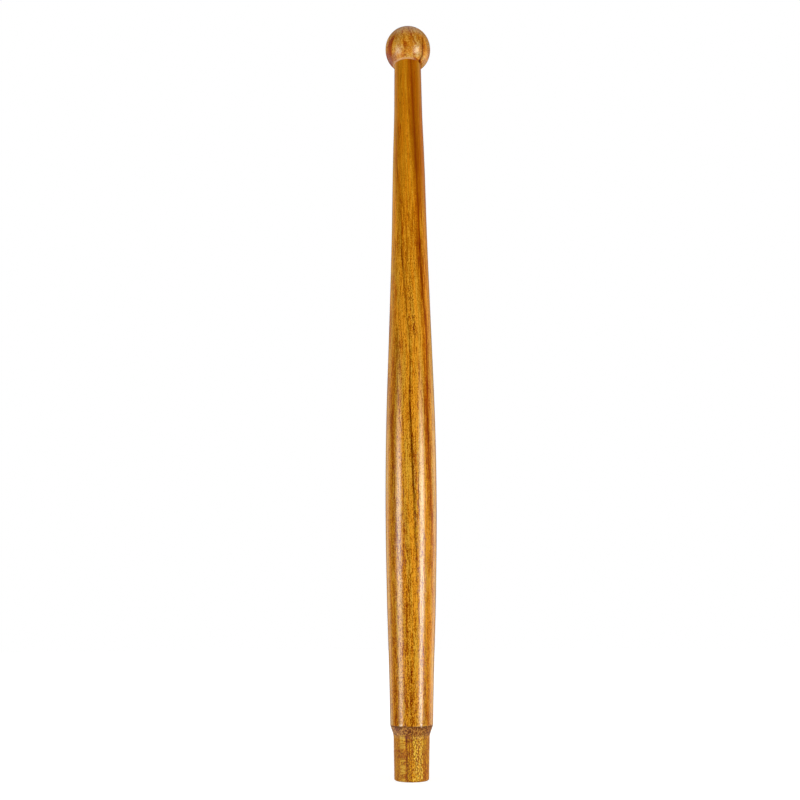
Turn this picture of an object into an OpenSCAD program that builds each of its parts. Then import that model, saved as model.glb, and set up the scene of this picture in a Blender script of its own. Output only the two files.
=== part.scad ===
// Ensign staff: a turned teak staff with a ball truck doweled to its head.
// It stands on its heel along +Z, with the origin at the centre of the heel's end face.

/* [Overall] */
// Length from the end of the heel to the top of the ball
overall_len = 600; // [500:5:760]

/* [Heel] */
// Diameter of the tenon that drops into a socket of nominally 1 in
tenon_d = 25.4; // [20:0.1:30]
// Length of the tenon below the bevel
tenon_len = 30; // [20:1:60]
// Chamfer round the end of the tenon
heel_chamfer = 0.8; // [0.4:0.1:2]
// Diameter of the mark that the lathe's centre leaves in the end of the tenon
centre_mark_d = 3.6; // [2:0.2:6]
// Height of the bevel between the tenon and the edge of the shoulder
bevel_h = 7.5; // [4:0.5:15]
// Reach of the small hollow where the tenon runs into the bevel
cove_reach = 1.6; // [0.4:0.1:2]
// Reach of the softened edge of the shoulder
shoulder_edge = 0.6; // [0.2:0.1:1.5]

/* [Shaft] */
// Diameter at the shoulder
shoulder_d = 30.8; // [27:0.1:38]
// Height of the place where the foot begins to swell
foot_z = 75; // [65:1:100]
// Diameter there
foot_d = 32.9; // [28:0.1:38]
// Height of the place halfway up the swell
swell_z = 130; // [110:1:150]
// Diameter there
swell_d = 36.4; // [30:0.1:40]
// Height of the belly, where the staff is thickest
belly_z = 203; // [165:1:245]
// Diameter of the belly
belly_d = 39; // [32:0.1:48]
// Height of the place where the belly turns into the long taper
ease_z = 265; // [250:1:300]
// Diameter there
ease_d = 37.6; // [32:0.1:40]
// Diameter a third of the way up the long taper
low_taper_d = 32.8; // [28:0.1:38]
// Diameter two thirds of the way up the long taper
high_taper_d = 28.5; // [25:0.1:36]
// Distance from the foot of the neck to the ball
neck_drop = 76; // [60:1:110]
// Diameter at the foot of the neck
neck_d = 25.2; // [22:0.1:30]
// Distance from the narrow part of the neck to the ball
throat_drop = 42; // [20:1:50]
// Diameter of the narrow part of the neck
throat_d = 23.2; // [19:0.1:28]
// Diameter of the head, under the ball
head_d = 22; // [17:0.1:27]
// Reach of the softened edge of the head
head_edge = 0.35; // [0.2:0.05:0.8]

/* [Ball truck] */
// Diameter of the ball
ball_d = 37.6; // [32:0.1:50]
// Width of the flat lip that the ball's seat shows round the head
seat_lip = 0.45; // [0.1:0.05:1.5]

/* [Dowel joint] */
// Diameter of the dowel
dowel_d = 10; // [6:0.5:12]
// Length of the dowel
dowel_len = 38; // [24:1:44]
// Depth of the dowel in the ball
dowel_in_ball = 18; // [10:1:20]
// Room for glue all round the dowel
glue_gap = 0.05; // [0.02:0.01:0.2]
// Room for glue beyond each end of the dowel
glue_well = 1; // [0.5:0.1:3]
// Chamfer on the dowel's ends
dowel_chamfer = 1; // [0.5:0.1:1.5]
// Number of glue flutes along the dowel
flute_count = 18; // [8:1:24]
// Depth of a flute
flute_depth = 0.3; // [0.1:0.05:0.5]
// Radius of a flute's round bottom
flute_r = 0.45; // [0.3:0.05:0.6]

/* [Hidden] */
$fn = 96;

// Steps on each span of the shaft's curve, and on each softened edge
span_steps = 7;
edge_steps = 4;

// Included angle of the drill that makes the dowel holes, and of the lathe's centre
drill_angle = 118;
centre_angle = 60;

shoulder_z = tenon_len + bevel_h;
ball_z = overall_len - ball_d / 2;
seat_r = head_d / 2 + seat_lip;
head_z = ball_z - sqrt(pow(ball_d / 2, 2) - pow(seat_r, 2));
neck_z = head_z - neck_drop;
throat_z = head_z - throat_drop;
taper_span = neck_z - ease_z;

hole_r = dowel_d / 2 + glue_gap;
ball_hole = dowel_in_ball + glue_well;
staff_hole = dowel_len - dowel_in_ball + glue_well;
dowel_z = head_z + dowel_in_ball - dowel_len;

// Heights and diameters that the shaft's curve passes through
stations = [
    [shoulder_z, shoulder_d],
    [foot_z, foot_d],
    [swell_z, swell_d],
    [belly_z, belly_d],
    [ease_z, ease_d],
    [ease_z + taper_span / 3, low_taper_d],
    [ease_z + taper_span * 2 / 3, high_taper_d],
    [neck_z, neck_d],
    [throat_z, throat_d],
    [head_z, head_d]
];
last_station = len(stations) - 1;

// Growth of the diameter per millimetre of height, from station i to the next
function growth(i) = (stations[i + 1][1] - stations[i][1]) / (stations[i + 1][0] - stations[i][0]);

// Growth at station i, by the harmonic mean, so that the curve never swings past a station
function lean(i) =
    i == 0 ? growth(0)
    : i == last_station ? growth(last_station - 1)
    : growth(i - 1) * growth(i) <= 0 ? 0
    : 2 * growth(i - 1) * growth(i) / (growth(i - 1) + growth(i));

// Diameter a share t of the way from station i to the next, on a cubic curve
function span_d(i, t) =
    stations[i][1] * (2 * pow(t, 3) - 3 * pow(t, 2) + 1)
    + stations[i + 1][1] * (3 * pow(t, 2) - 2 * pow(t, 3))
    + (stations[i + 1][0] - stations[i][0])
        * (lean(i) * (pow(t, 3) - 2 * pow(t, 2) + t) + lean(i + 1) * (pow(t, 3) - pow(t, 2)));

// Point of the shaft's outline at the same place, as radius and height
function span_point(i, t) = [
    span_d(i, t) / 2,
    stations[i][0] + t * (stations[i + 1][0] - stations[i][0])
];

// Point at a given distance from corner c towards point p
function towards(c, p, reach) = c + (p - c) * reach / norm(p - c);

// Curve that softens corner c between its neighbours a and b
function softened(a, c, b, reach) = [
    for (k = [0 : edge_steps])
        let (t = k / edge_steps, p = towards(c, a, reach), q = towards(c, b, reach))
            pow(1 - t, 2) * p + 2 * t * (1 - t) * c + pow(t, 2) * q
];

shaft_points = [
    for (i = [0 : last_station - 1])
        for (k = [0 : span_steps - 1])
            span_point(i, k / span_steps)
];

// Shaft without its first point, which the shoulder's softened edge replaces
upper_points = [for (k = [1 : len(shaft_points) - 1]) shaft_points[k]];

heel_edge = [tenon_d / 2, heel_chamfer];
tenon_top = [tenon_d / 2, tenon_len];
shoulder = [shoulder_d / 2, shoulder_z];
head_corner = [head_d / 2, head_z];

// Half outline of the staff, from the heel to the head
staff_outline = concat(
    [
        [0, centre_mark_d / 2 / tan(centre_angle / 2)],
        [centre_mark_d / 2, 0],
        [tenon_d / 2 - heel_chamfer, 0],
        heel_edge
    ],
    softened(heel_edge, tenon_top, shoulder, cove_reach),
    softened(tenon_top, shoulder, upper_points[0], shoulder_edge),
    upper_points,
    softened(upper_points[len(upper_points) - 1], head_corner, [0, head_z], head_edge),
    [[0, head_z]]
);

// Blind hole with a drill's pointed end, up from the origin
module dowel_hole(depth) {
    overshoot = 1;
    point_h = hole_r / tan(drill_angle / 2);
    translate([0, 0, -overshoot])
        cylinder(r = hole_r, h = depth + overshoot);
    translate([0, 0, depth])
        cylinder(r1 = hole_r, r2 = 0, h = point_h);
}

module staff() {
    color("#b8741c")
        difference() {
            rotate_extrude() polygon(staff_outline);
            translate([0, 0, head_z])
                mirror([0, 0, 1])
                    dowel_hole(staff_hole);
        }
}

module ball_truck() {
    color("#c78a3c")
        difference() {
            translate([0, 0, ball_z]) sphere(d = ball_d);
            translate([0, 0, head_z - ball_d]) cylinder(d = ball_d, h = ball_d);
            translate([0, 0, head_z]) dowel_hole(ball_hole);
        }
}

// Dowel's envelope, which only trims the chamfers at its ends
module dowel_ends() {
    spare = 1;
    wide = dowel_d / 2 + spare;
    inset = dowel_chamfer + spare;
    rotate_extrude()
        polygon([
            [0, 0],
            [dowel_d / 2 - dowel_chamfer, 0],
            [wide, inset],
            [wide, dowel_len - inset],
            [dowel_d / 2 - dowel_chamfer, dowel_len],
            [0, dowel_len]
        ]);
}

module truck_dowel() {
    color("#dcc08c")
        translate([0, 0, dowel_z])
            intersection() {
                linear_extrude(height = dowel_len)
                    difference() {
                        circle(d = dowel_d);
                        for (i = [0 : flute_count - 1])
                            rotate(i * 360 / flute_count)
                                translate([dowel_d / 2 + flute_r - flute_depth, 0])
                                    circle(r = flute_r, $fn = 16);
                    }
                dowel_ends();
            }
}

staff();
ball_truck();
truck_dowel();
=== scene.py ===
"""Looks of the ensign staff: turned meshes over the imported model, their wood, the studio and the camera."""

import math
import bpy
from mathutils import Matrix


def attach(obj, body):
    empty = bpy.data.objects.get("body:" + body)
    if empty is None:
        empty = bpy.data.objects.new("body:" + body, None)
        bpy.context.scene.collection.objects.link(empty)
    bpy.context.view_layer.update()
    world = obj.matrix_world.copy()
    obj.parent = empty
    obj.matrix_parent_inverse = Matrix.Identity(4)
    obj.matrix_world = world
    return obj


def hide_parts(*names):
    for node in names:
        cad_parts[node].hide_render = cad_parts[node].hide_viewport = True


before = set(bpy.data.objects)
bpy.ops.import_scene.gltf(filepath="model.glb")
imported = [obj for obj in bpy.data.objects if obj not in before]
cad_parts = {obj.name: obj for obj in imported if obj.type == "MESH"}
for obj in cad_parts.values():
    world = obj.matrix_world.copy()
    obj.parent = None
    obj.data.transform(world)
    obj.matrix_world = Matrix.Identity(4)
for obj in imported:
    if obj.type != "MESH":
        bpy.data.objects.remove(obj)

from types import SimpleNamespace

import bpy
import numpy as np
from mathutils import Matrix, Vector, noise

MM = 0.001
DEGREES = 180 / math.pi
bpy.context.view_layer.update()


# The frame's own measures

NEAR_AXIS = 0.2 * MM
NEAR_SEAT = 0.1 * MM
NEAR_WALL = 0.05 * MM
NEAR_FACE = 0.01 * MM
BEVEL_SLOPE = 0.19


def rings_of(node):
    """Height and radius of every vertex of a CAD node, as two arrays."""
    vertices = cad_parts[node].data.vertices
    places = np.array([v.co for v in vertices])
    return places[:, 2], np.hypot(places[:, 0], places[:, 1])


def outer_profile(heights, radii, decimals=5):
    """Largest radius at each height of the turned outline, with the heights rounded to so many decimals."""
    levels = {}
    for height, radius in zip(np.round(heights, decimals), radii):
        levels[height] = max(radius, levels.get(height, 0.0))
    keys = sorted(levels)
    return np.array(keys), np.array([levels[k] for k in keys])


def outside_of_staff():
    """Heights and radii of the staff's outside, without the centre mark in its heel."""
    heights, radii = outer_profile(STAFF_Z, STAFF_R)
    outside = radii > HOLE_RADIUS * 1.5
    return heights[outside], radii[outside]


STAFF_Z, STAFF_R = rings_of("staff")
HEAD_Z = STAFF_Z.max()
HOLE_RADIUS = STAFF_R[STAFF_Z > HEAD_Z - NEAR_FACE].min()
IN_BORE = HOLE_RADIUS * 1.01
OUTSIDE_Z, OUTSIDE_R = outside_of_staff()
SHOULDER_Z = OUTSIDE_Z[1:][np.diff(OUTSIDE_R) / np.diff(OUTSIDE_Z) > BEVEL_SLOPE].max()
TENON_RADIUS = OUTSIDE_R[OUTSIDE_Z < SHOULDER_Z / 2].max()
TENON_TOP = OUTSIDE_Z[(OUTSIDE_R < TENON_RADIUS * 1.01) & (OUTSIDE_Z < SHOULDER_Z)].max()

BALL_Z, BALL_R = rings_of("ball_truck")
BALL_TOP = BALL_Z.max()
BALL_RADIUS = BALL_R.max()
BALL_CENTRE = BALL_TOP - BALL_RADIUS
BALL_HOLE_END = BALL_Z[(BALL_R < NEAR_AXIS) & (BALL_Z < BALL_TOP - 1 * MM)].max()
SEAT_Z = BALL_Z.min()
SEAT_RADIUS = BALL_R[BALL_Z < SEAT_Z + NEAR_SEAT].max()


def smooth_profile(heights, radii, wanted):
    """Radius at each wanted height on a curve through the outline's rings that never swings past them."""
    growth = np.diff(radii) / np.diff(heights)
    lean = np.zeros(len(heights))
    lean[0], lean[-1] = growth[0], growth[-1]
    same_way = growth[:-1] * growth[1:] > 0
    both = np.where(same_way, growth[:-1] + growth[1:], 1.0)
    lean[1:-1] = np.where(same_way, 2 * growth[:-1] * growth[1:] / both, 0.0)
    index = np.clip(np.searchsorted(heights, wanted, side="right") - 1, 0, len(heights) - 2)
    span = heights[index + 1] - heights[index]
    t = (wanted - heights[index]) / span
    return (
        radii[index] * (2 * t**3 - 3 * t**2 + 1)
        + radii[index + 1] * (3 * t**2 - 2 * t**3)
        + span * (lean[index] * (t**3 - 2 * t**2 + t) + lean[index + 1] * (t**3 - t**2))
    )


# Turned meshes

SEGMENTS = 144
BOW = 0.9 * MM
HOLE_STEP = 3 * MM


def add_object(name, data):
    """New object in the scene."""
    new = bpy.data.objects.new(name, data)
    bpy.context.scene.collection.objects.link(new)
    return new


def mesh_object(name, vertices, faces):
    """New mesh object in the scene."""
    mesh = bpy.data.meshes.new(name)
    mesh.from_pydata(vertices, [], faces)
    return add_object(name, mesh)


def steps(start, end, spacing):
    """Even heights from start up to but without end, about spacing apart."""
    count = max(1, round(abs(end - start) / spacing))
    return [start + (end - start) * k / count for k in range(count)]


def ease(x, low, high):
    """0 below low, 1 above high, and a smooth change between."""
    t = min(max((x - low) / (high - low), 0.0), 1.0)
    return t * t * (3 - 2 * t)


def bow_at(height):
    """Sideways bow of the seasoned wood, nothing at the heel and the ball's top."""
    half = BALL_TOP / 2
    return BOW * (1 - ((height - half) / half) ** 2)


def place_at(radius, height, angle):
    """Place on a turned surface, in millimetres."""
    return Vector((radius * math.cos(angle), radius * math.sin(angle), height)) / MM


def turned_faces(ring_count):
    """Faces of a turned mesh: a fan at each end and a belt of quads between each two rings."""
    following = [(k + 1) % SEGMENTS for k in range(SEGMENTS)]
    faces = [(0, 1 + n, 1 + k) for k, n in enumerate(following)]
    for ring in range(ring_count - 1):
        low, high = 1 + ring * SEGMENTS, 1 + (ring + 1) * SEGMENTS
        faces += [(low + k, low + n, high + n, high + k) for k, n in enumerate(following)]
    top = 1 + (ring_count - 1) * SEGMENTS
    last = top + SEGMENTS
    return faces + [(top + k, top + n, last) for k, n in enumerate(following)]


def turned_mesh(name, rows, radius_at, aside_at):
    """Closed mesh turned round the axis. rows are (radius, height), the first and the last with radius 0."""
    angles = np.arange(SEGMENTS) * 2 * math.pi / SEGMENTS
    vertices = [(aside_at(*rows[0]), 0.0, rows[0][1])]
    for radius, height in rows[1:-1]:
        shift = aside_at(radius, height)
        for angle in angles:
            r = radius_at(radius, height, angle)
            vertices.append((r * math.cos(angle) + shift, r * math.sin(angle), height))
    vertices.append((aside_at(*rows[-1]), 0.0, rows[-1][1]))
    piece = mesh_object(name, vertices, turned_faces(len(rows) - 2))
    piece.data.validate()
    piece.data.shade_smooth()
    return piece


# The staff

HEEL_EDGE = 1.6 * MM
SOFT_EDGE = 3 * MM
HEEL_STEP = 0.2 * MM
TENON_STEP = 0.28 * MM
BEVEL_STEP = 0.22 * MM
SHAFT_STEP = 2.0 * MM
HEAD_STEP = 0.2 * MM
MARK_RIM_SHARE = 0.03
MARK_RIM_RISE = 0.03 * MM
RIDGE_PITCH = 1.15 * MM
RIDGE_DEPTH = 0.045 * MM
RIDGE_SPOTS = 0.11
TAPER_AT_TOP = 0.3 * MM
TAPER_AT_HEEL = -0.28 * MM
TORN_DEPTH = 0.07 * MM
TORN_ACROSS = 0.9
TORN_ALONG = 0.45
TORN_FALLOFF = 0.7
TORN_FINER = 2.1
TORN_LAYERS = 3
HAND_DEPTH = 0.05 * MM
SWELL_REACH = 17 * MM
SWELL_DRIFT = 41 * MM
OVAL_REACH = 95 * MM


def staff_rows():
    """Rings of the staff as (radius, height): centre mark, heel, outside, head and dowel hole."""
    on_axis = STAFF_R < NEAR_AXIS
    mark_top = STAFF_Z[on_axis].min()
    hole_end = STAFF_Z[on_axis].max()
    mark_radius = STAFF_R[STAFF_Z < NEAR_FACE].min()
    on_wall = np.abs(STAFF_R - HOLE_RADIUS) < NEAR_WALL
    hole_floor = STAFF_Z[on_wall & (STAFF_Z > hole_end)].min()
    levels = (
        steps(0.0, HEEL_EDGE, HEEL_STEP)
        + steps(HEEL_EDGE, TENON_TOP, TENON_STEP)
        + steps(TENON_TOP, SHOULDER_Z + SOFT_EDGE, BEVEL_STEP)
        + steps(SHOULDER_Z + SOFT_EDGE, HEAD_Z - SOFT_EDGE, SHAFT_STEP)
        + steps(HEAD_Z - SOFT_EDGE, HEAD_Z, HEAD_STEP)
    )
    curve = smooth_profile(OUTSIDE_Z, OUTSIDE_R, np.array(levels))
    heel_radius, head_radius = OUTSIDE_R[0], OUTSIDE_R[-1]
    rows = [(0.0, mark_top), (mark_radius * (1 - MARK_RIM_SHARE), MARK_RIM_RISE)]
    rows.append((mark_radius * (1 + MARK_RIM_SHARE), 0.0))
    rows += [(heel_radius * share, 0.0) for share in (0.5, 0.8, 0.97)]
    rows += list(zip(curve, levels))
    rows += [(head_radius, HEAD_Z), ((head_radius + HOLE_RADIUS) / 2, HEAD_Z), (HOLE_RADIUS, HEAD_Z)]
    rows += [(HOLE_RADIUS, z) for z in steps(HEAD_Z, hole_floor, HOLE_STEP)[1:]]
    rows += [(HOLE_RADIUS, hole_floor), (HOLE_RADIUS / 2, (hole_floor + hole_end) / 2), (0.0, hole_end)]
    return rows


def staff_radius(radius, height, angle):
    """Radius with the turner's hand in it: ridges and a taper on the tenon, torn grain up to the shoulder."""
    on_end_face = height <= 0 and radius < TENON_RADIUS * 0.9
    if radius < IN_BORE or on_end_face:
        return radius
    place = place_at(radius, height, angle)
    on_tenon = 1 - ease(height, TENON_TOP - 1 * MM, TENON_TOP + 4 * MM)
    on_foot = 1 - ease(height, SHOULDER_Z - 0.6 * MM, SHOULDER_Z + 0.4 * MM)
    turns = height / RIDGE_PITCH - angle / (2 * math.pi)
    uneven = 0.4 + 1.2 * noise.noise(place * RIDGE_SPOTS)
    ridge = RIDGE_DEPTH * math.sin(2 * math.pi * turns) * uneven
    taper = TAPER_AT_HEEL + (TAPER_AT_TOP - TAPER_AT_HEEL) * height / TENON_TOP
    torn_place = Vector((place.x * TORN_ACROSS, place.y * TORN_ACROSS, place.z * TORN_ALONG))
    torn = TORN_DEPTH * noise.fractal(torn_place, TORN_FALLOFF, TORN_FINER, TORN_LAYERS)
    swell = HAND_DEPTH * math.sin(height / SWELL_REACH + 0.6 * math.sin(height / SWELL_DRIFT))
    oval = 0.6 * HAND_DEPTH * math.cos(2 * angle + height / OVAL_REACH)
    return radius + on_tenon * (ridge + taper) + on_foot * torn + (1 - on_foot) * (swell + oval)


def staff_aside(radius, height):
    """Sideways shift of a ring: the wood's bow, and nothing in the dowel hole."""
    return 0.0 if radius < IN_BORE else bow_at(height)


def make_staff():
    """Finer staff with the CAD node's profile. Its tenon takes the second of its two materials."""
    piece = turned_mesh("turned_staff", staff_rows(), staff_radius, staff_aside)
    for face in piece.data.polygons:
        face.material_index = 1 if face.center.z < TENON_TOP else 0
    return piece


# The ball

BALL_RINGS = 110
BALL_FULLNESS = 2.07
BALL_HAND = 0.07 * MM
BALL_HAND_SPOTS = 0.09
BALL_ASIDE = 0.35 * MM
SEAT_EDGE = 0.35 * MM


def ball_outside(angle):
    """Radius and height of the outside at an angle above the middle. It is a trace fuller than round."""
    up, out = math.sin(angle), math.cos(angle)
    reach = BALL_RADIUS * (abs(up) ** BALL_FULLNESS + abs(out) ** BALL_FULLNESS) ** (-1 / BALL_FULLNESS)
    return reach * out, BALL_CENTRE + reach * up


def ball_rows():
    """Rings of the ball as (radius, height): dowel hole, flat seat with a softened edge, and outside."""
    hole_top = BALL_Z[np.abs(BALL_R - HOLE_RADIUS) < NEAR_WALL].max()
    rows = [(0.0, BALL_HOLE_END), (HOLE_RADIUS / 2, (BALL_HOLE_END + hole_top) / 2), (HOLE_RADIUS, hole_top)]
    rows += [(HOLE_RADIUS, z) for z in steps(hole_top, SEAT_Z, HOLE_STEP)[1:]]
    rows += [(HOLE_RADIUS, SEAT_Z), ((HOLE_RADIUS + SEAT_RADIUS) / 2, SEAT_Z)]
    for inward, up in ((1.0, 0.0), (0.35, 0.08), (0.02, 0.45)):
        rows.append((SEAT_RADIUS - SEAT_EDGE * inward, SEAT_Z + SEAT_EDGE * up))
    seat_angle = math.asin((SEAT_Z - BALL_CENTRE) / BALL_RADIUS)
    first = seat_angle + 1.6 * SEAT_EDGE / BALL_RADIUS
    rows += [ball_outside(angle) for angle in steps(first, math.pi / 2, (math.pi / 2 - first) / BALL_RINGS)]
    rows.append((0.0, BALL_TOP))
    return rows


def on_seat(radius, height):
    """Whether a ring lies on the seat, or in the hole below the ball's middle."""
    return radius <= SEAT_RADIUS and height < BALL_CENTRE


def ball_radius(radius, height, angle):
    """Radius with the turner's hand in it, which leaves the seat as it is."""
    if on_seat(radius, height):
        return radius
    uneven = noise.noise(place_at(radius, height, angle) * BALL_HAND_SPOTS)
    return radius * (1 + BALL_HAND / BALL_RADIUS * uneven)


def ball_aside(radius, height):
    """Sideways shift of a ring: the staff's bow, more on the outside, and nothing in the dowel hole."""
    if radius < IN_BORE and height <= BALL_HOLE_END:
        return 0.0
    return bow_at(height) + (0.0 if on_seat(radius, height) else BALL_ASIDE)


def make_ball():
    """Finer ball with the CAD node's seat and hole."""
    return turned_mesh("turned_ball", ball_rows(), ball_radius, ball_aside)


# Materials

class Graph:
    """Short calls that add nodes to a tree and join them. A number or a socket can feed any input."""

    def __init__(self, tree):
        """Take over a tree and clear it."""
        self.tree = tree
        tree.nodes.clear()

    def node(self, kind, feeds=None, **settings):
        """New node with these settings. feeds says what goes into which input."""
        new = self.tree.nodes.new(kind)
        for key, value in settings.items():
            setattr(new, key, value)
        for key, value in (feeds or {}).items():
            self.feed(new.inputs[key], value)
        return new

    def feed(self, socket, value):
        """Join a socket to an input, or set the input's own value."""
        if isinstance(value, bpy.types.NodeSocket):
            self.tree.links.new(value, socket)
        else:
            socket.default_value = value

    def math(self, operation, *values):
        """Result of one sum or function."""
        new = self.node("ShaderNodeMath", operation=operation)
        for socket, value in zip(new.inputs, values):
            self.feed(socket, value)
        return new.outputs[0]

    def add(self, *values):
        """All values added up."""
        total = values[0]
        for value in values[1:]:
            total = self.math("ADD", total, value)
        return total

    def minus(self, value, less):
        """The first value less the second."""
        return self.math("SUBTRACT", value, less)

    def times(self, *values):
        """All values multiplied."""
        total = values[0]
        for value in values[1:]:
            total = self.math("MULTIPLY", total, value)
        return total

    def most(self, *values):
        """The largest of the values."""
        largest = values[0]
        for value in values[1:]:
            largest = self.math("MAXIMUM", largest, value)
        return largest

    def between(self, value, low, high, start=0.0, end=1.0):
        """Smooth change from start to end as the value goes from low to high."""
        feeds = {"Value": value, "From Min": low, "From Max": high, "To Min": start, "To Max": end}
        return self.node("ShaderNodeMapRange", feeds, interpolation_type="SMOOTHSTEP").outputs[0]

    def band(self, value, centre, half_width):
        """1 at the centre, fading smoothly to 0 at half_width on both sides."""
        away = self.math("ABSOLUTE", self.minus(value, centre))
        return self.between(away, 0.0, half_width, 1.0, 0.0)

    def window(self, value, low, high, soft):
        """1 between low and high, fading smoothly to 0 over soft past either end."""
        rise = self.between(value, low - soft, low)
        fall = self.between(value, high, high + soft, 1.0, 0.0)
        return self.times(rise, fall)

    def levels(self, value, low, high, stops):
        """Number read off a line of (value, level) points, between low and high. No level is below 0."""
        fac = self.math("DIVIDE", self.minus(value, low), high - low)
        new = self.node("ShaderNodeValToRGB", {"Fac": fac})
        elements = new.color_ramp.elements
        while len(elements) < len(stops):
            elements.new(0.5)
        for element, (at, level) in zip(elements, stops):
            element.position = (at - low) / (high - low)
            element.color = (level, level, level, 1.0)
        return new.outputs[0]

    def blend(self, fac, a, b):
        """Number that goes from a to b as fac goes from 0 to 1."""
        return self.node("ShaderNodeMix", {0: fac, 2: a, 3: b}).outputs[0]

    def stretched(self, vector, factors):
        """Vector with each part multiplied by its own factor."""
        return self.node("ShaderNodeVectorMath", {0: vector, 1: factors}, operation="MULTIPLY").outputs[0]

    def grain(self, at, across, along):
        """Place for a noise with about so many spots per millimetre across and along the grain."""
        return self.stretched(at.place, (across, across, along))

    def following(self, ring, at, across, through, along):
        """Like grain, but it follows the growth rings, and has its own number of spots along y."""
        feeds = {0: self.times(ring, across), 1: self.times(at.y, through), 2: self.times(at.z, along)}
        return self.node("ShaderNodeCombineXYZ", feeds).outputs[0]

    def noise(self, vector, detail=2.0, roughness=0.5):
        """Noise between 0 and 1."""
        feeds = {"Vector": vector, "Scale": 1.0, "Detail": detail, "Roughness": roughness}
        return self.node("ShaderNodeTexNoise", feeds).outputs["Fac"]

    def swing(self, vector, size, detail=2.0, roughness=0.5):
        """Noise about zero, that seldom goes past half of size either way."""
        return self.times(self.minus(self.noise(vector, detail, roughness), 0.5), 2 * size)

    def mix(self, fac, a, b, blend="MIX"):
        """Colour that goes from a to b as fac goes from 0 to 1."""
        new = self.node("ShaderNodeMix", data_type="RGBA", blend_type=blend)
        self.feed(new.inputs[0], fac)
        for socket, value in ((new.inputs[6], a), (new.inputs[7], b)):
            self.feed(socket, (*value, 1.0) if isinstance(value, tuple) else value)
        return new.outputs[2]

    def tint(self, colour, by, share=1.0):
        """Colour multiplied by another one, in full or by a share."""
        return self.mix(share, colour, by, "MULTIPLY")


WHITE = (1.0, 1.0, 1.0)
VARNISH_IOR = 1.5
VARNISH_SPECULAR = 0.5
BARE_SPECULAR = 0.2


def new_material(name):
    """New material with an empty graph."""
    material = bpy.data.materials.new(name)
    material.use_nodes = True
    return material, Graph(material.node_tree)


def place_in_mm(g):
    """Object position in millimetres, as a vector and its three parts. It stays with the wood at any pose."""
    place = g.stretched(g.node("ShaderNodeTexCoord").outputs["Object"], (1 / MM, 1 / MM, 1 / MM))
    x, y, z = g.node("ShaderNodeSeparateXYZ", {0: place}).outputs
    return SimpleNamespace(place=place, x=x, y=y, z=z)


def finish_wood(g, colour, roughness, relief, relief_mm):
    """One varnished surface: wood colour under a gloss that follows the small relief of the grain."""
    bump = g.node("ShaderNodeBump", {"Height": relief, "Distance": relief_mm * MM, "Strength": 1.0})
    shader = g.node("ShaderNodeBsdfPrincipled", {
        "Base Color": colour,
        "Roughness": roughness,
        "IOR": VARNISH_IOR,
        "Specular IOR Level": VARNISH_SPECULAR,
        "Normal": bump.outputs[0],
    })
    g.node("ShaderNodeOutputMaterial", {"Surface": shader.outputs[0]})


def without_varnish(material, name):
    """The same wood with less shine on it."""
    bare = material.copy()
    bare.name = name
    bare.node_tree.nodes["Principled BSDF"].inputs["Specular IOR Level"].default_value = BARE_SPECULAR
    return bare


def stained(g, light, stain, depth):
    """The light colour seen through a given depth of brown stain. Depth 0 leaves it as it is."""
    through = g.node("ShaderNodeGamma", {"Color": (*stain, 1.0), "Gamma": depth}).outputs[0]
    return g.tint(light, through)


# Teak of the staff, with its places in millimetres: x to the right, z up from the heel's end face

LENGTH = BALL_TOP / MM
TENON_END = TENON_TOP / MM
SHOULDER = SHOULDER_Z / MM
PITH_DISTANCE = 95.0
PALEST = -0.35
TEAK_ROUGHNESS = 0.095
BARE_ROUGHER = 0.42
SHOULDER_ROUGHER = 0.4
TEAK_RELIEF = 0.028

TEAK_NECK_GOLD = (0.735, 0.285, 0.007)
TEAK_FOOT_GOLD = (0.69, 0.29, 0.011)
TEAK_REDDISH = (1.05, 0.94, 0.7)
TEAK_OLIVE = (0.96, 1.05, 1.3)
# Painted warm light on the right of the staff
TEAK_WARM_LIGHT = (1.07, 1.0, 1.0)
TEAK_STAIN = (0.60, 0.368, 0.05)
TEAK_INK = (0.48, 0.55, 0.70)

TENON_LINE_X = -3.6
TENON_TINT = (1.04, 1.13, 0.3)
# Pale dashes of the tenon, and painted highlight where the sheen falls
TENON_CREAM_AND_SHEEN = (1.0, 0.66, 0.07)
BEVEL_PALE = (0.68, 0.32, 0.06)
# Painted shade under the shoulder's edge, and painted highlights on the edge as pale glints
SHOULDER_SHADE_BROWN = (0.085, 0.02, 0.0)
GLINT_CREAM = (0.95, 0.66, 0.38)

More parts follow.
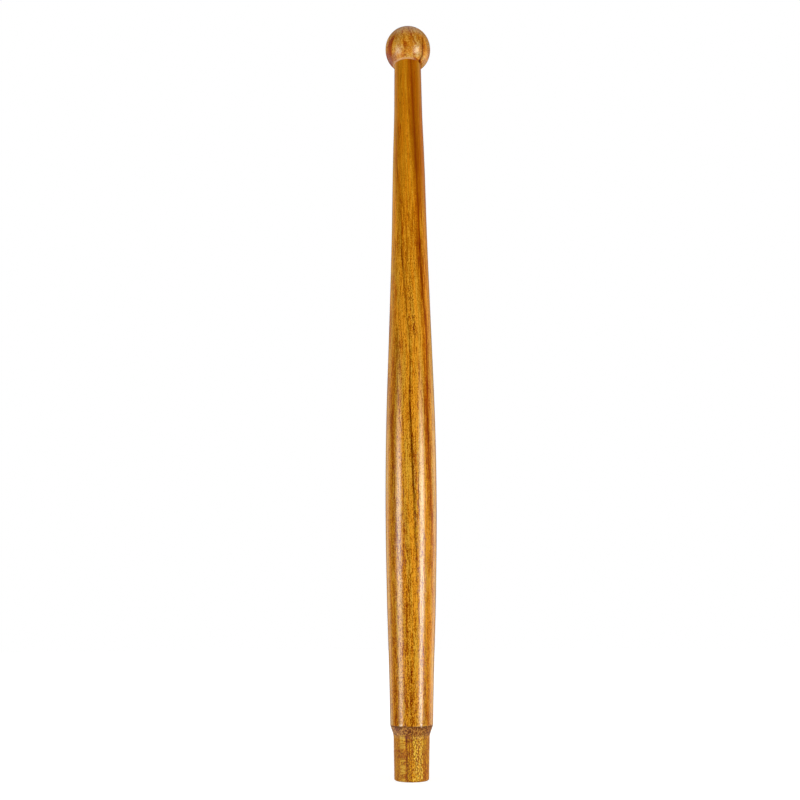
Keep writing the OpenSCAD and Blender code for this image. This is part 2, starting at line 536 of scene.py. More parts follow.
# Broad zones of the staff: ring at the middle, half width, lowest and highest end, fade past the ends, depth
STAFF_ZONES = (
    (28.0, 9.0, 0.0, 600.0, 1.0, 0.55),
    (-30.0, 7.0, 0.0, 600.0, 1.0, 0.45),
    (16.6, 6.5, 490.0, 600.0, 90.0, 0.78),
    (4.0, 9.0, 500.0, 600.0, 40.0, 0.22),
    (13.3, 4.2, 190.0, 600.0, 70.0, 0.64),
    (1.0, 3.4, 285.0, 600.0, 30.0, 0.18),
    (13.0, 4.0, 470.0, 520.0, 30.0, 0.12),
    (11.0, 2.2, 405.0, 520.0, 20.0, 0.24),
    (-2.0, 1.6, 400.0, 482.0, 15.0, 0.26),
    (5.2, 5.0, 366.0, 438.0, 12.0, 0.32),
    (0.2, 2.3, 388.0, 413.0, 8.0, 0.30),
    (14.4, 6.5, 368.0, 400.0, 15.0, 0.70),
    (-6.5, 1.6, 363.0, 388.0, 8.0, 0.48),
    (-8.4, 3.0, 340.0, 372.0, 12.0, 0.34),
    (5.5, 5.0, 250.0, 360.0, 15.0, -0.22),
    (3.8, 5.0, 318.0, 358.0, 12.0, -0.14),
    (-12.9, 3.2, 290.0, 336.0, 12.0, 0.42),
    (11.9, 2.6, 292.0, 314.0, 10.0, 0.32),
    (0.0, 40.0, 0.0, 290.0, 60.0, -0.12),
    (-15.3, 2.4, 262.0, 288.0, 10.0, 0.50),
    (12.6, 5.0, 245.0, 285.0, 15.0, 0.22),
    (3.0, 2.4, 200.0, 245.0, 12.0, 0.10),
    (14.6, 2.6, 195.0, 245.0, 12.0, 0.28),
    (5.0, 1.5, 178.0, 244.0, 12.0, -0.50),
    (13.5, 4.5, 190.0, 230.0, 12.0, 0.22),
    (16.4, 2.6, 165.0, 225.0, 20.0, -0.22),
    (-6.6, 3.2, 196.0, 222.0, 8.0, 0.26),
    (16.9, 1.6, 174.0, 204.0, 10.0, 0.34),
    (14.4, 1.4, 177.0, 197.0, 8.0, -0.50),
    (-14.0, 3.0, 174.0, 196.0, 10.0, 0.50),
    (-17.2, 3.8, 158.0, 190.0, 14.0, 0.42),
    (11.3, 2.6, 152.0, 173.0, 8.0, 0.60),
    (-3.8, 3.8, 40.0, 172.0, 15.0, -0.50),
    (8.5, 5.0, 100.0, 155.0, 30.0, 0.20),
    (9.3, 2.6, 88.0, 135.0, 12.0, -0.32),
    (-9.3, 5.2, 0.0, 125.0, 45.0, 0.32),
    (-17.5, 4.0, 0.0, 120.0, 35.0, 0.60),
    (-15.8, 1.3, 30.0, 111.0, 12.0, -0.50),
    (8.4, 2.4, 62.0, 95.0, 10.0, -0.30),
    (-18.9, 1.3, 30.0, 92.0, 12.0, 0.34),
    (-13.0, 1.2, 30.0, 92.0, 12.0, 0.50),
    (3.6, 3.8, 0.0, 80.0, 25.0, 0.42),
    (-20.5, 4.5, 0.0, 46.0, 10.0, 0.34),
    (2.6, 2.6, 0.0, 46.0, 10.0, 0.30),
)

# Short streaks of the staff: ring at the middle, half width, lowest and highest end, depth
STAFF_STREAKS = (
    (2.2, 2.2, 385.0, 480.0, 0.25),
    (-9.8, 2.0, 325.0, 352.0, 0.25),
    (-5.6, 0.9, 232.0, 290.0, 0.30),
    (5.6, 0.8, 168.0, 200.0, 0.45),
    (-16.6, 2.2, 150.0, 200.0, 0.22),
    (-13.8, 0.9, 150.0, 178.0, 0.85),
    (-9.4, 1.2, 122.0, 158.0, 0.45),
    (3.4, 1.1, 132.0, 154.0, 0.65),
    (1.7, 1.1, 96.0, 150.0, 0.45),
    (-10.0, 1.1, 96.0, 114.0, 0.80),
    (-10.2, 0.9, 60.0, 92.0, 0.80),
    (-18.3, 1.2, 68.0, 90.0, 0.50),
    (-0.3, 1.0, 52.0, 90.0, 0.45),
    (-7.8, 0.9, 46.0, 78.0, 0.90),
    (-12.2, 0.9, 36.0, 62.0, 0.70),
)
STREAK_FADE = 10.0


def teak_rings(g, at):
    """Distance in millimetres across the growth rings, from the main dark vein of the staff."""
    lean, level_at = -0.0395, 258.0
    knee_size, knee_at, knee_reach = 2.7, 322.0, 40.0
    step_size, belly_size, offset = 1.1, 0.4, 1.0
    off_knee = g.minus(at.z, knee_at)
    knee = g.times(g.math("EXPONENT", g.times(off_knee, off_knee, -1 / knee_reach**2)), knee_size)
    step = g.between(at.z, 300.0, 440.0, 0.0, step_size)
    drift = g.add(g.times(g.minus(at.z, level_at), lean), knee, step)
    arc = g.times(at.y, at.y, -1 / (2 * PITH_DISTANCE))
    slow = g.swing(g.grain(at, 0.03, 0.009), 0.6, detail=1.0)
    small = g.swing(g.grain(at, 0.25, 0.02), 0.4)
    belly = g.times(g.window(at.z, 205.0, 262.0, 30.0), belly_size)
    return g.add(g.minus(at.x, drift), offset, arc, slow, small, belly)


def teak_zones(g, at):
    """Broad bands along the grain, as depth of stain over a pale ground that changes slowly."""
    ground = g.between(at.z, 380.0, 450.0, -0.12, -0.06)
    depth = g.add(g.swing(g.grain(at, 0.06, 0.012), 0.3, detail=1.0), ground)
    for ring, half_width, low, high, fade, strength in STAFF_ZONES:
        zone = g.times(g.band(at.ring, ring, half_width), g.window(at.z, low, high, fade), strength)
        depth = g.add(depth, zone)
    return depth


def main_vein(g, at, torn_ring, whole):
    """Strength of the ink-dark vein down the middle. It is faint towards the neck and ends above the heel."""
    reach = g.levels(at.z, 100.0, 540.0, (
        (100, 0.0), (150, 0.30), (190, 0.72), (203, 0.92), (258, 0.88), (283, 0.62), (312, 0.40),
        (345, 0.28), (372, 0.36), (440, 0.25), (540, 0.0),
    ))
    wander = g.add(g.between(at.z, 255.0, 275.0, 0.0, 0.65), g.between(at.z, 165.0, 195.0, 0.85, 0.0))
    return g.times(g.band(g.add(torn_ring, wander), 0.0, 1.35), reach, whole)


def right_vein(g, at, torn_ring):
    """Depth of the vein at the right: a soft shade, and a torn line that is strongest at the belly."""
    shade_reach = g.levels(at.z, 120.0, 560.0, (
        (120, 0.0), (165, 0.30), (196, 0.30), (235, 0.75), (258, 1.0), (400, 1.0), (470, 0.6), (560, 0.3),
    ))
    line_reach = g.levels(at.z, 150.0, 360.0, (
        (150, 0.1), (185, 0.1), (220, 0.5), (245, 0.7), (265, 0.45), (330, 0.45), (355, 0.0),
    ))
    bent_ring = g.add(torn_ring, g.between(at.z, 150.0, 215.0, 1.4, 0.0))
    line = g.times(g.band(bent_ring, 13.3, 1.3), line_reach)
    return g.add(g.times(g.band(at.ring, 13.9, 1.6), shade_reach, 0.70), line)


def left_vein(g, at, torn_ring, whole):
    """Depth of the vein at the left of the belly, as a broad shade and a thin line in it."""
    bends = g.add(g.between(at.z, 245.0, 315.0, 0.0, -3.0), g.between(at.z, 200.0, 235.0, 1.6, 0.0))
    ring = g.add(torn_ring, 13.9, bends)
    shade = g.times(g.band(ring, 1.1, 3.2), g.window(at.z, 215.0, 318.0, 25.0), 0.64)
    line = g.times(g.band(ring, 0.6, 0.9), g.window(at.z, 212.0, 270.0, 15.0), whole, 0.85)
    return shade, line


def teak_veins(g, at):
    """The long dark veins and the shorter streaks, as depth of stain, and the depth of ink in the darkest."""
    torn_ring = g.add(at.ring, g.swing(g.grain(at, 0.9, 0.25), 0.45, detail=1.0))
    whole = g.between(g.noise(g.grain(at, 0.6, 0.13)), 0.36, 0.50, 0.70, 1.0)
    main = main_vein(g, at, torn_ring, whole)
    left_shade, left_line = left_vein(g, at, torn_ring, whole)
    depth = g.add(right_vein(g, at, torn_ring), left_shade, left_line, g.times(main, 1.9))
    for ring, half_width, low, high, strength in STAFF_STREAKS:
        streak = g.times(g.band(torn_ring, ring, half_width), g.window(at.z, low, high, STREAK_FADE), whole)
        depth = g.add(depth, g.times(streak, strength))
    return depth, g.most(main, g.times(left_shade, 0.34))


def teak_pores(g, at):
    """Open pores as long and short dark dashes, and small checks at the left towards the heel."""
    heelward = g.levels(at.z, 0.0, LENGTH, (
        (0, 0.13), (120, 0.12), (260, 0.07), (380, 0.05), (440, 0.02), (500, 0.0),
    ))
    crowd = g.add(g.noise(g.grain(at, 0.22, 0.02)), g.times(g.band(at.ring, 2.0, 5.5), 0.10))
    long = g.add(g.noise(g.grain(at, 1.6, 0.14), detail=1.0), g.times(crowd, 0.35), heelward)
    patch = g.times(g.band(at.ring, 3.6, 5.5), g.window(at.z, 332.0, 362.0, 16.0))
    low_patch = g.times(g.band(at.ring, 4.2, 4.5), g.window(at.z, 225.0, 278.0, 15.0))
    crowded = g.add(g.times(patch, 0.17), g.times(low_patch, 0.10), g.times(heelward, 0.4))
    short = g.add(g.noise(g.grain(at, 1.8, 0.80), detail=1.0), crowded)
    check_zone = g.times(g.window(at.ring, -9.0, -3.0, 1.5), g.window(at.z, 38.0, 160.0, 20.0))
    checks = g.times(g.between(g.noise(g.grain(at, 1.0, 0.12), detail=1.0), 0.52, 0.60), check_zone)
    mask = g.most(g.between(long, 0.86, 0.93), g.between(short, 0.72, 0.80), checks)
    return g.times(mask, g.add(1.0, g.times(patch, 0.9)))


def fine_depth(g, at, fibres, speckle, pores):
    """Depth of stain in fibres, pores and speckle. The neck has less, and the flanks less of the last two."""
    fibre_size = g.levels(at.z, 0.0, LENGTH, (
        (0, 1.9), (60, 2.5), (250, 2.5), (390, 2.4), (470, 0.8), (600, 0.5),
    ))
    speckle_size = g.levels(at.z, 0.0, LENGTH, (
        (0, 5.5), (40, 5.5), (160, 5.2), (260, 4.2), (390, 2.6), (470, 1.0), (600, 0.6),
    ))
    flank = g.levels(at.x, -20.0, 20.0, ((-20, 0.6), (-11, 0.7), (-8, 1.0), (6, 1.0), (8, 0.6), (20, 0.6)))
    rest = g.add(g.times(pores, 1.3), g.times(speckle, speckle_size))
    return g.add(g.times(fibres, fibre_size), g.times(rest, flank))


def painted_flank_light(g, at):
    """Painted light and shade at the flanks, as depth of stain: both are painted paler up to the belly, and
    the left one at the neck.
    """
    turn = g.times(g.math("ARCTAN2", at.x, g.times(at.y, -1.0)), DEGREES)
    left_painted_light = g.levels(at.z, 0.0, LENGTH, (
        (30, 0.0), (52, 0.04), (70, 0.26), (250, 0.26), (290, 0.0), (360, 0.0), (390, 0.36), (600, 0.36),
    ))
    # No level is below 0, so these stand too high by the raise
    right_raise = 0.24
    right_painted_light = g.levels(at.z, 0.0, LENGTH, (
        (30, 0.20), (50, 0.46), (95, 0.46), (122, 0.24), (150, 0.44), (250, 0.46), (290, 0.20),
        (410, 0.20), (430, 0.0), (445, 0.05), (458, 0.35), (480, 0.30), (505, 0.0),
    ))
    left = g.times(g.window(turn, -110.0, -66.0, 7.0), left_painted_light, -1.0)
    right = g.times(g.window(turn, 64.0, 110.0, 7.0), g.minus(right_painted_light, right_raise), -1.0)
    return g.add(left, right)


def teak_gold(g, at):
    """Colour of the unstained teak, warmer at the neck, with painted warm light on the right. It drifts
    between red and olive.
    """
    hue_noise = g.noise(g.following(at.ring, at, 0.45, 0.3, 0.015))
    hue = g.between(hue_noise, 0.36, 0.64)
    gold = g.mix(g.between(at.z, 250.0, 480.0), TEAK_FOOT_GOLD, TEAK_NECK_GOLD)
    gold = g.tint(gold, g.mix(hue, TEAK_REDDISH, TEAK_OLIVE))
    # Painted warm light on the right
    return g.tint(gold, g.mix(g.band(at.x, 13.5, 5.5), WHITE, TEAK_WARM_LIGHT))


def tenon_wood(g, at):
    """Depth of stain on the bare tenon, and where pale fibres stand up from it. Both carry painted highlight
    where the broad sheen of the softboxes falls.
    """
    # Shallowest near x -5 and from x 1.8 to 7.2, where the softboxes' sheen falls: partly painted highlight
    across = g.levels(at.x, -14.0, 14.0, (
        (-14, 0.80), (-9.5, 0.80), (-7.5, 0.66), (-5.2, 0.60), (-3.6, 1.10), (-2.4, 0.85), (0.5, 0.55),
        (1.8, 0.38), (7.2, 0.25), (8.6, 0.95), (10.5, 0.60), (14, 0.40),
    ))
    patch = g.times(g.window(at.z, 16.5, 21.5, 1.0), g.window(at.x, -11.0, -5.0, 1.0))
    top_patch = g.times(g.window(at.z, 27.5, 31.0, 1.0), g.window(at.x, -4.0, 0.5, 1.5))
    line = g.band(g.add(at.x, g.swing(g.grain(at, 0.3, 0.2), 0.6)), TENON_LINE_X, 0.95)
    depth = g.add(across, -0.12, g.times(patch, 0.40), g.times(top_patch, 0.7), line)

    dashes = g.between(g.noise(g.grain(at, 1.4, 0.65), detail=1.0), 0.50, 0.62)
    # More pale dashes in the middle and pale ridges at the left, where the sheen falls: painted highlight
    middle = g.times(g.window(at.x, 1.6, 7.4, 1.2), 0.8)
    right_end = g.times(g.window(at.x, 9.0, 14.0, 1.0), -0.20)
    ridges = g.between(g.noise(g.grain(at, 0.12, 0.95), detail=1.0), 0.47, 0.57)
    left = g.times(g.window(at.x, -8.0, -4.9, 0.8), g.minus(1.0, patch), 0.55)
    return depth, g.most(g.times(dashes, g.add(0.20, middle, right_end)), g.times(ridges, left))


def bevel_wood(g, at):
    """Mottled colour of the dull bevel, and how much of it covers the turned wood at each height."""
    ragged = g.add(at.z, g.swing(g.grain(at, 0.5, 0.5), 1.8))
    cover = g.times(g.window(ragged, TENON_END + 2.4, SHOULDER + 0.1, 0.7), 0.85)
    mottle = g.swing(g.grain(at, 1.1, 0.7), 13.0, roughness=0.7)
    colour = stained(g, BEVEL_PALE, TEAK_STAIN, g.most(g.add(1.45, mottle), -0.1))
    return colour, cover


def shoulder_shade_and_glints(g, at, line, colour):
    """The colour with a dark line of painted shade under the shoulder's edge, and two painted highlights as
    pale glints on the edge's front.
    """
    shade = g.between(g.noise(g.grain(at, 0.25, 0.25)), 0.42, 0.56, 0.45, 0.9)
    colour = g.mix(g.times(line, shade), colour, SHOULDER_SHADE_BROWN)
    # The painted glints are only on the front
    front = g.between(at.y, -2.0, 2.0, 1.0, 0.0)
    left_height = g.window(at.z, SHOULDER + 0.7, SHOULDER + 1.5, 0.5)
    right_height = g.window(at.z, SHOULDER - 0.5, SHOULDER + 1.7, 0.5)
    left_glint = g.times(g.window(at.x, -8.4, -6.8, 0.6), left_height)
    right_glint = g.times(g.window(at.x, 6.8, 7.2, 0.5), right_height, 0.7)
    return g.mix(g.times(g.most(left_glint, right_glint), front, 0.85), colour, GLINT_CREAM)


def teak():
    """Teak of the staff: zones, veins, fibres, pores and fine speckle, and a duller tenon and bevel."""
    material, g = new_material("varnished_teak")
    at = place_in_mm(g)
    at.ring = teak_rings(g, at)
    veins, ink = teak_veins(g, at)
    pores = teak_pores(g, at)
    lines = g.swing(g.following(at.ring, at, 0.9, 0.4, 0.010), 0.8, detail=3.0, roughness=0.6)
    fibres = g.swing(g.grain(at, 1.7, 0.045), 1.0, roughness=0.6)
    speckle = g.swing(g.grain(at, 1.7, 0.75), 1.0, roughness=0.8)

    # The tenon is left bare, with depths of its own, and its fine grain is calmer on the left
    on_tenon = g.between(at.z, TENON_END + 1.8, TENON_END + 4.3, 1.0, 0.0)
    tenon_depth, tenon_pale_and_sheen = tenon_wood(g, at)
    left_of_line = g.between(at.x, TENON_LINE_X - 1, TENON_LINE_X, 1.0, 0.0)
    calm = g.add(1.0, g.times(on_tenon, left_of_line, -0.45))
    # The flanks take painted light and shade
    broad = g.times(g.add(teak_zones(g, at), lines, veins, painted_flank_light(g, at)), g.minus(1.0, on_tenon))
    fine = g.times(fine_depth(g, at, fibres, speckle, pores), calm)
    depth = g.add(broad, g.times(tenon_depth, on_tenon), fine)

    colour = stained(g, teak_gold(g, at), TEAK_STAIN, g.most(depth, PALEST))
    colour = stained(g, colour, TEAK_INK, ink)
    colour = stained(g, colour, TENON_TINT, on_tenon)
    colour = g.mix(g.times(on_tenon, tenon_pale_and_sheen), colour, TENON_CREAM_AND_SHEEN)
    bevel_colour, on_bevel = bevel_wood(g, at)
    colour = g.mix(on_bevel, colour, bevel_colour)
    # A band at the shoulder's edge: painted shade in the colour, and rougher varnish in the roughness
    shoulder_line = g.band(at.z, SHOULDER - 0.2, 0.9)
    colour = shoulder_shade_and_glints(g, at, shoulder_line, colour)

    dull = g.most(on_tenon, on_bevel)
    roughness = g.add(TEAK_ROUGHNESS, g.times(dull, BARE_ROUGHER), g.times(shoulder_line, SHOULDER_ROUGHER))
    relief = g.add(g.times(speckle, 0.8), g.times(pores, -0.5), g.times(fibres, 0.5))
    relief = g.times(relief, g.add(1.0, g.times(dull, 2.5)))
    finish_wood(g, colour, roughness, relief, TEAK_RELIEF)
    return material


# Teak of the ball, with above as millimetres above its centre

BALL_ORANGE = (0.80, 0.34, 0.020)
BALL_BEIGE = (0.72, 0.43, 0.09)
BALL_PINK = (0.50, 0.19, 0.07)
BALL_STAIN = (0.70, 0.40, 0.07)
BALL_INK = (0.42, 0.27, 0.08)
BALL_BRIGHT = (1.16, 1.16, 1.2)
# Painted light on the ball's lower right
BALL_PAINTED_LIGHT = (1.12, 1.20, 1.7)
# Painted highlight on the lip over the neck
LIP_HIGHLIGHT_CREAM = (0.86, 0.56, 0.32)
BALL_ROUGHNESS = 0.24
PORE_ROUGHER = 0.08
BALL_RELIEF = 0.06

# Streaks of the ball: place across at its middle, lean to the left per millimetre up, half width, ends, depth
BALL_STREAKS = (
    (5.1, 0.35, 1.5, -4.5, 12.5, 1.4),
    (-4.2, 0.29, 1.4, -8.0, 8.0, 0.9),
    (-2.0, 0.0, 2.0, -13.0, -4.0, 0.6),
    (9.8, 0.3, 0.9, -2.0, 9.0, 0.6),
    (5.8, 0.0, 0.9, -15.0, -9.0, 0.8),
    # This row, with its negative depth, is no streak but a painted highlight: a pale patch low on the right
    (8.6, 0.0, 2.6, -16.0, -4.0, -0.6),
    (-9.5, 0.0, 1.6, -13.0, -5.0, -0.4),
)


def ball_rings(g, at):
    """Place in millimetres across the ball's rings, smooth and torn. They are widest apart low down."""
    widest_at, closing_in = -8.5, 1 / 520.0
    from_widest = g.minus(at.above, widest_at)
    bent = g.times(at.x, g.add(1.0, g.times(from_widest, from_widest, closing_in)))
    ring = g.add(bent, g.swing(g.grain(at, 0.07, 0.07), 0.8))
    return ring, g.add(ring, g.swing(g.grain(at, 0.7, 0.45), 2.6, roughness=0.6))


def ball_depth(g, at, left_side, right_side, torn_ring):
    """Depth of stain in the ball's lines, streaks and red-brown side, and of a painted highlight low on the
    right, without its pores.
    """
    lines = g.swing(g.following(torn_ring, at, 0.6, 0.2, 0.10), 1.5, detail=3.0)
    depth = g.add(0.30, lines, g.times(left_side, 1.5), g.times(right_side, 0.05))
    for across, lean, half_width, low, high, strength in BALL_STREAKS:
        line = g.band(g.add(torn_ring, g.times(at.above, lean)), across, half_width)
        depth = g.add(depth, g.times(line, g.window(at.above, low, high, 2.0), strength))
    return depth


def ball_light(g, at, left_side, right_side):
    """Colour of the ball's unstained wood, with a pinkish lower left, and painted light on the lower right.
    """
    hue = g.between(g.noise(g.grain(at, 0.20, 0.16)), 0.40, 0.60)
    pink = g.times(g.window(at.above, -16.0, -11.0, 2.0), g.between(at.x, -10.5, -7.5, 1.0, 0.0), 0.7)
    # Painted light low on the right
    painted_light_right = g.times(g.window(at.above, -16.0, -9.0, 2.0), g.window(at.x, 7.5, 16.0, 1.5))
    light = g.mix(g.most(g.times(hue, 0.6), 0.1), BALL_ORANGE, BALL_BEIGE)
    light = g.mix(g.most(left_side, right_side), light, BALL_ORANGE)
    light = g.tint(light, BALL_BRIGHT, right_side)
    light = g.mix(pink, light, BALL_PINK)
    return g.tint(light, BALL_PAINTED_LIGHT, painted_light_right)


def ball_teak():
    """Paler teak of the ball, from another plank, with a red-brown side and a few short dark veins."""
    material, g = new_material("varnished_ball_teak")
    at = place_in_mm(g)
    at.above = g.minus(at.z, BALL_CENTRE / MM)
    ring, torn_ring = ball_rings(g, at)
    left_side = g.times(g.window(torn_ring, -17.6, -13.4, 0.9), g.window(at.above, -14.0, 1.0, 4.0))
    right_side = g.times(g.window(ring, 13.2, 16.8, 0.8), g.window(at.above, -10.0, 3.0, 3.0))
    foot_bend = g.between(at.above, -16.0, -10.5, 3.0, 0.0)
    wavy = g.add(at.x, g.swing(g.grain(at, 0.2, 0.2), 0.6), foot_bend)
    dark_line = g.times(g.band(wavy, 12.6, 1.1), g.window(at.above, -15.0, 1.5, 2.5))

    # Painted highlight along the lip over the neck, and painted shade at its right end
    from_seat = g.minus(at.z, SEAT_Z / MM)
    lip_highlight = g.times(g.band(from_seat, 0.1, 0.9), g.between(at.x, 4.0, 8.0, 1.0, 0.0))
    lip_shade = g.times(g.band(from_seat, 0.3, 0.9), g.window(at.x, 6.0, 11.0, 1.0))

    pores = g.between(g.noise(g.grain(at, 1.6, 0.8), detail=1.0), 0.60, 0.68)
    speckle = g.swing(g.grain(at, 1.3, 0.9), 1.0, roughness=0.7)
    depth = ball_depth(g, at, left_side, right_side, torn_ring)
    depth = g.add(depth, g.times(pores, 0.5), g.times(speckle, 2.8), g.times(lip_shade, 1.4))
    colour = stained(g, ball_light(g, at, left_side, right_side), BALL_STAIN, g.most(depth, PALEST))
    colour = stained(g, colour, BALL_INK, dark_line)
    colour = g.mix(g.times(lip_highlight, 0.55), colour, LIP_HIGHLIGHT_CREAM)
    relief = g.add(g.times(speckle, 0.8), g.times(pores, -0.5))
    roughness = g.add(BALL_ROUGHNESS, g.times(pores, PORE_ROUGHER))
    finish_wood(g, colour, roughness, relief, BALL_RELIEF)
    return material


# Beech of the dowel

BEECH_LIGHT = (0.70, 0.50, 0.28)
BEECH_DARK = (0.60, 0.40, 0.21)
BEECH_FLECK = (0.42, 0.24, 0.11)
BEECH_ROUGHNESS = 0.7
BEECH_RELIEF = 0.05


def beech():
    """Bare beech of the dowel, with short flecks."""
    material, g = new_material("bare_beech")
    at = place_in_mm(g)
    flecks = g.noise(g.grain(at, 2.4, 0.5))
    fibres = g.noise(g.grain(at, 3.5, 0.06), detail=3.0)
    colour = g.mix(g.between(fibres, 0.3, 0.7), BEECH_LIGHT, BEECH_DARK)
    colour = g.mix(g.between(flecks, 0.6, 0.68, 0.0, 0.6), colour, BEECH_FLECK)
    finish_wood(g, colour, BEECH_ROUGHNESS, fibres, BEECH_RELIEF)
    return material


# Camera

LENS_PIXELS = 1000.0
PHOTO_SIDE = 800.0
SENSOR_MM = 36.0
PITCH = math.radians(12.75)
ROLL = math.radians(0.225)
AIM_HEIGHT = 0.2786
AIM_DISTANCE = 0.7764
SIDE_STEP = -0.0073


def make_camera():
    """Close, low camera that looks up at the staff, as the photograph's does."""
    data = bpy.data.cameras.new("camera")
    data.sensor_width = SENSOR_MM
    data.lens = SENSOR_MM * LENS_PIXELS / PHOTO_SIDE
    data.clip_start = 0.01
    forward = Vector((0.0, math.cos(PITCH), math.sin(PITCH)))
    level_up = Vector((0.0, -math.sin(PITCH), math.cos(PITCH)))
    level_right = Vector((1.0, 0.0, 0.0))
    up = level_up * math.cos(ROLL) + level_right * math.sin(ROLL)
    right = level_right * math.cos(ROLL) - level_up * math.sin(ROLL)
    turn = Matrix((right, up, -forward)).transposed().to_4x4()
    place = Vector((SIDE_STEP, 0.0, AIM_HEIGHT)) - AIM_DISTANCE * forward
    camera = add_object("camera", data)
    camera.matrix_world = Matrix.Translation(place) @ turn
    bpy.context.scene.camera = camera


# Light and floor

LAMP_WHITE = (1.0, 0.98, 0.92)
OVERHEAD = 0.8
FLOOR_RADIUS = 4.0
FLOOR_CORNERS = 64
FLOOR_GREY = 0.92
FLOOR_GLOW = 1.15
FLOOR_FADE = (0.1, 0.5)
FLOOR_LEAST_WHITE = 0.80

# Where parts of the studio meet in reflections: first and last degrees of lift, and of turn for the middle
LOW_START = (-24.0, -12.0)
HIGH_START = (8.0, 20.0)
OVERHEAD_START = (52.0, 62.0)
MIDDLE = (-10.0, 10.0)

# The backdrop in reflections: degrees away from straight behind the staff, and strength
BACKDROP_HIGH = (
    (0, 0.0), (14, 0.0), (20, 0.06), (30, 0.22), (40, 0.27), (50, 0.33), (60, 0.28), (70, 0.22), (85, 0.08),
    (100, 0.02),
)
BACKDROP_LEFT = (
    (0, 0.0), (14, 0.0), (21, 0.08), (30, 0.48), (40, 1.05), (50, 1.05), (60, 0.45), (70, 0.12), (85, 0.05),
    (150, 0.02),
)
BACKDROP_RIGHT = (
    (0, 0.0), (14, 0.0), (21, 0.08), (30, 0.50), (40, 1.15), (50, 1.65), (60, 1.15), (70, 0.45), (85, 0.10),
    (150, 0.02),
)

# Light from below: degrees to the right of straight behind the staff, and strength
BELOW = (
    (-180, 0.02), (-150, 0.15), (-110, 0.9), (-70, 1.1), (-30, 0.5), (0, 0.02), (90, 0.10), (180, 0.02),
)

# The softboxes: height in metres, and strength
LEFT_BOX = (
    (-0.16, 6.0), (0.06, 6.4), (0.20, 9.0), (0.33, 8.8), (0.43, 7.0), (0.50, 3.0), (0.60, 0.7), (0.66, 0.0),
)
RIGHT_BOX = (
    (-0.16, 10.4), (0.04, 12.6), (0.12, 17.6), (0.20, 12.9), (0.33, 12.0), (0.43, 8.9), (0.50, 3.9),
    (0.60, 0.8), (0.66, 0.0),
)
BACK_BOX = ((-0.1, 4.0), (0.7, 4.0))


def make_softbox(name, azimuth, width, shares, distance=1.0, in_gloss=True):
    """Tall soft light at an azimuth in degrees from the camera's side. Its reflection can be left out."""
    low, high = shares[0][0], shares[-1][0]
    turn = math.radians(azimuth)
    across = Vector((math.cos(turn), math.sin(turn), 0.0)) * width / 2
    middle = Vector((math.sin(turn), -math.cos(turn), 0.0)) * distance
    sides = ((-1, low), (1, low), (1, high), (-1, high))
    corners = [middle + across * side + Vector((0, 0, z)) for side, z in sides]
    box = mesh_object(name, corners, [(0, 1, 2, 3)])
    material, g = new_material(name)
    height = g.node("ShaderNodeSeparateXYZ", {0: g.node("ShaderNodeTexCoord").outputs["Object"]}).outputs[2]
    strength = g.levels(height, low, high, shares)
    light = g.node("ShaderNodeEmission", {"Color": (*LAMP_WHITE, 1.0), "Strength": strength})
    g.node("ShaderNodeOutputMaterial", {"Surface": light.outputs[0]})
    box.data.materials.append(material)
    box.visible_camera = False
    box.visible_shadow = False
    box.visible_glossy = in_gloss


def studio_light(g):
    """Strength of the studio in reflections: pale behind the staff at both sides, above and below left."""
    way = g.node("ShaderNodeTexCoord").outputs["Generated"]
    x, y, z = g.node("ShaderNodeSeparateXYZ", {0: way}).outputs
    turn = g.times(g.math("ARCTAN2", x, y), DEGREES)
    lift = g.times(g.math("ARCSINE", z), DEGREES)
    off = g.math("ABSOLUTE", turn)
    high = g.levels(off, 0.0, 180.0, BACKDROP_HIGH)
    left = g.levels(off, 0.0, 180.0, BACKDROP_LEFT)
    right = g.levels(off, 0.0, 180.0, BACKDROP_RIGHT)
    below = g.levels(turn, -180.0, 180.0, BELOW)
    low = g.blend(g.between(turn, *MIDDLE), left, right)
    light = g.blend(g.between(lift, *HIGH_START), low, high)
    light = g.blend(g.between(lift, *LOW_START), below, light)
    return g.blend(g.between(lift, *OVERHEAD_START), light, OVERHEAD)


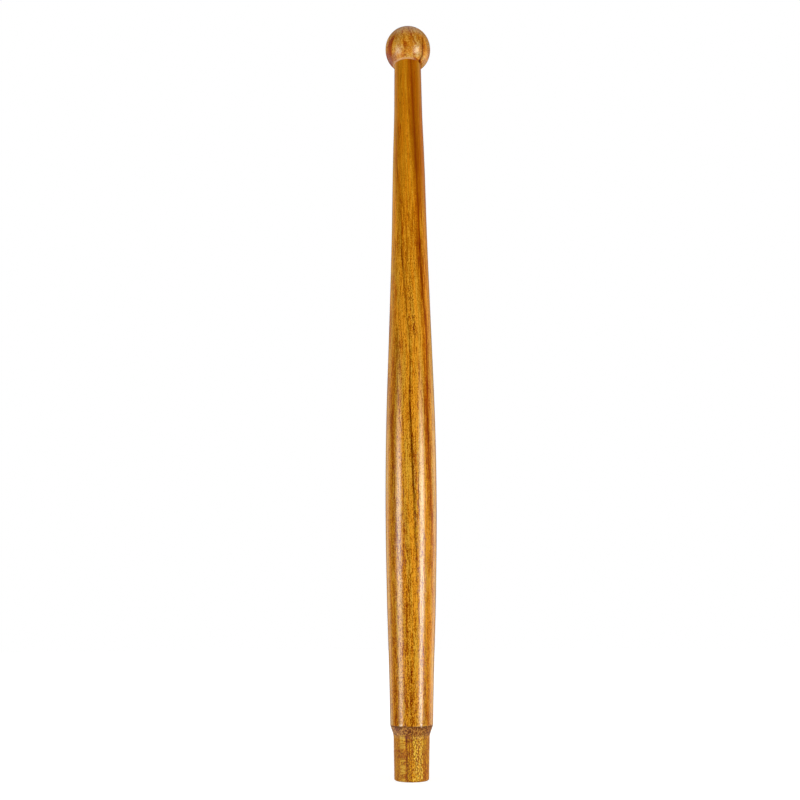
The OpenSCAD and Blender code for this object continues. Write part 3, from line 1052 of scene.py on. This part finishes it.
def make_world():
    """Studio that is plain white to the camera and has lighter and darker parts in reflections."""
    world = bpy.data.worlds.new("studio")
    bpy.context.scene.world = world
    world.use_nodes = True
    g = Graph(world.node_tree)
    seen = g.node("ShaderNodeLightPath").outputs["Is Camera Ray"]
    strength = g.blend(seen, studio_light(g), 1.0)
    back = g.node("ShaderNodeBackground", {"Color": g.mix(seen, LAMP_WHITE, WHITE), "Strength": strength})
    g.node("ShaderNodeOutputWorld", {"Surface": back.outputs[0]})


def make_floor():
    """Pale round floor under the heel, which fades into the white round it."""
    turns = [2 * math.pi * k / FLOOR_CORNERS for k in range(FLOOR_CORNERS)]
    rim = [(FLOOR_RADIUS * math.cos(turn), FLOOR_RADIUS * math.sin(turn), 0.0) for turn in turns]
    floor = mesh_object("floor", rim, [tuple(range(FLOOR_CORNERS))])
    material, g = new_material("pale_floor")
    way = g.node("ShaderNodeTexCoord").outputs["Object"]
    reach = g.node("ShaderNodeVectorMath", {0: way}, operation="LENGTH").outputs["Value"]
    cloth = g.node("ShaderNodeBsdfDiffuse", {"Color": (FLOOR_GREY, FLOOR_GREY, FLOOR_GREY, 1.0)})
    white = g.node("ShaderNodeEmission", {"Color": (*WHITE, 1.0), "Strength": FLOOR_GLOW})
    share = g.between(reach, *FLOOR_FADE, start=FLOOR_LEAST_WHITE)
    mixed = g.node("ShaderNodeMixShader", {0: share, 1: cloth.outputs[0], 2: white.outputs[0]})
    g.node("ShaderNodeOutputMaterial", {"Surface": mixed.outputs[0]})
    floor.data.materials.append(material)
    floor.visible_glossy = False
    floor.visible_diffuse = False
    floor.visible_shadow = False


# The scene

bpy.context.scene.view_settings.view_transform = "Standard"
make_camera()
make_world()
make_floor()
make_softbox("softbox_left", azimuth=-57.4, width=0.37, shares=LEFT_BOX)
make_softbox("softbox_right", azimuth=48.9, width=0.335, shares=RIGHT_BOX)
make_softbox("softbox_back", azimuth=180.0, width=0.5, shares=BACK_BOX, distance=1.2, in_gloss=False)

staff = make_staff()
staff.data.materials.append(teak())
staff.data.materials.append(without_varnish(staff.data.materials[0], "bare_teak"))
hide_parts("staff")
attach(staff, "root")

ball = make_ball()
ball.data.materials.append(ball_teak())
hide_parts("ball_truck")
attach(ball, "root")

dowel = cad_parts["truck_dowel"]
dowel.data.materials.clear()
dowel.data.materials.append(beech())
